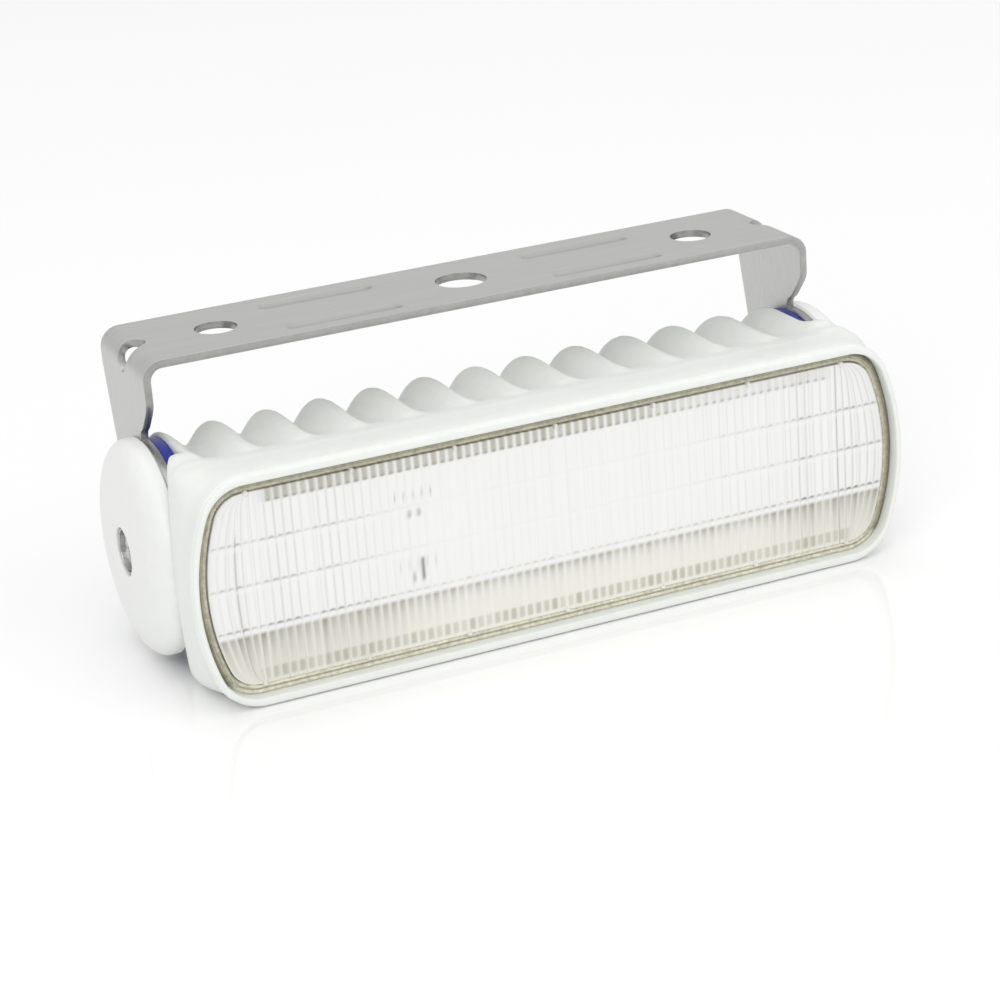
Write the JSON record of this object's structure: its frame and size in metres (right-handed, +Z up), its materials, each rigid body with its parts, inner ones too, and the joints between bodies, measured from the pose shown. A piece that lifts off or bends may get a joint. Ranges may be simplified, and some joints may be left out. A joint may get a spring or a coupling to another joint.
{
  "type": "fog light",
  "caption": "Bar-shaped LED fog and work light with a ribbed lens, wavy white heat-sink body and a U-shaped steel tilt bracket.",
  "frame": {"origin": "centre of the bracket's middle mounting hole, on the strap's top face", "axes": "+X along the lamp's length, -Y towards the lens, +Z up, out of the strap's mounting face"},
  "size_m": [0.1562, 0.0654, 0.0611],
  "materials": {
    "stainless_steel": "fine brushed stainless sheet with bright sheared edges",
    "white_body": "satin moulded white plastic, faintly greenish",
    "white_cap": "satin moulded white plastic",
    "clear_lens": "clear moulded plastic, glossy outside, ribbed inside",
    "olive_seal": "dark olive cast seal",
    "white_reflector": "bright white reflector",
    "white_board": "white solder mask on a metal core",
    "phosphor": "yellow phosphor over the die",
    "grey_pad": "soft grey heat pad",
    "bare_aluminium": "milled aluminium",
    "stainless_screw": "bright stainless fastener",
    "green_board": "green solder mask",
    "copper_wire": "enamelled copper winding",
    "capacitor_sleeve": "dark printed sleeve without print",
    "black_chip": "black moulded package",
    "terminal_plastic": "green terminal block",
    "brass_parts": "plain brass",
    "blue_bush": "moulded deep blue plastic",
    "gland_plastic": "white moulded nylon",
    "black_rubber": "black rubber"
  },
  "bodies": {
    "bracket": {"bracket": "stainless_steel"},
    "lamp": {"housing": "white_body", "lens": "clear_lens", "lens_gasket": "olive_seal", "reflector": "white_reflector", "led_board": "white_board", "led_chips": "phosphor", "thermal_pad": "grey_pad", "heat_spreader": "bare_aluminium", "board_screws": "stainless_screw", "driver_board": "green_board", "choke_coil": "copper_wire", "capacitors": "capacitor_sleeve", "driver_chips": "black_chip", "wire_terminal": "terminal_plastic", "link_pins": "brass_parts", "driver_screws": "stainless_screw", "left_tilt_ring": "blue_bush", "right_tilt_ring": "blue_bush", "left_end_cap": "white_cap", "right_end_cap": "white_cap", "left_screw_washer": "stainless_screw", "right_screw_washer": "stainless_screw", "left_clamp_screw": "stainless_screw", "right_clamp_screw": "stainless_screw", "left_thread_insert": "brass_parts", "right_thread_insert": "brass_parts", "gland_body": "gland_plastic", "gland_ring": "black_rubber", "gland_seal": "black_rubber", "gland_nut": "gland_plastic"}
  },
  "joints": [
    {"name": "tilt", "type": "hinge", "parent": "bracket", "child": "lamp", "pos_m": [0, -0.009, -0.038], "axis": [1, 0, 0], "range_deg": [-25, 90]}
  ]
}
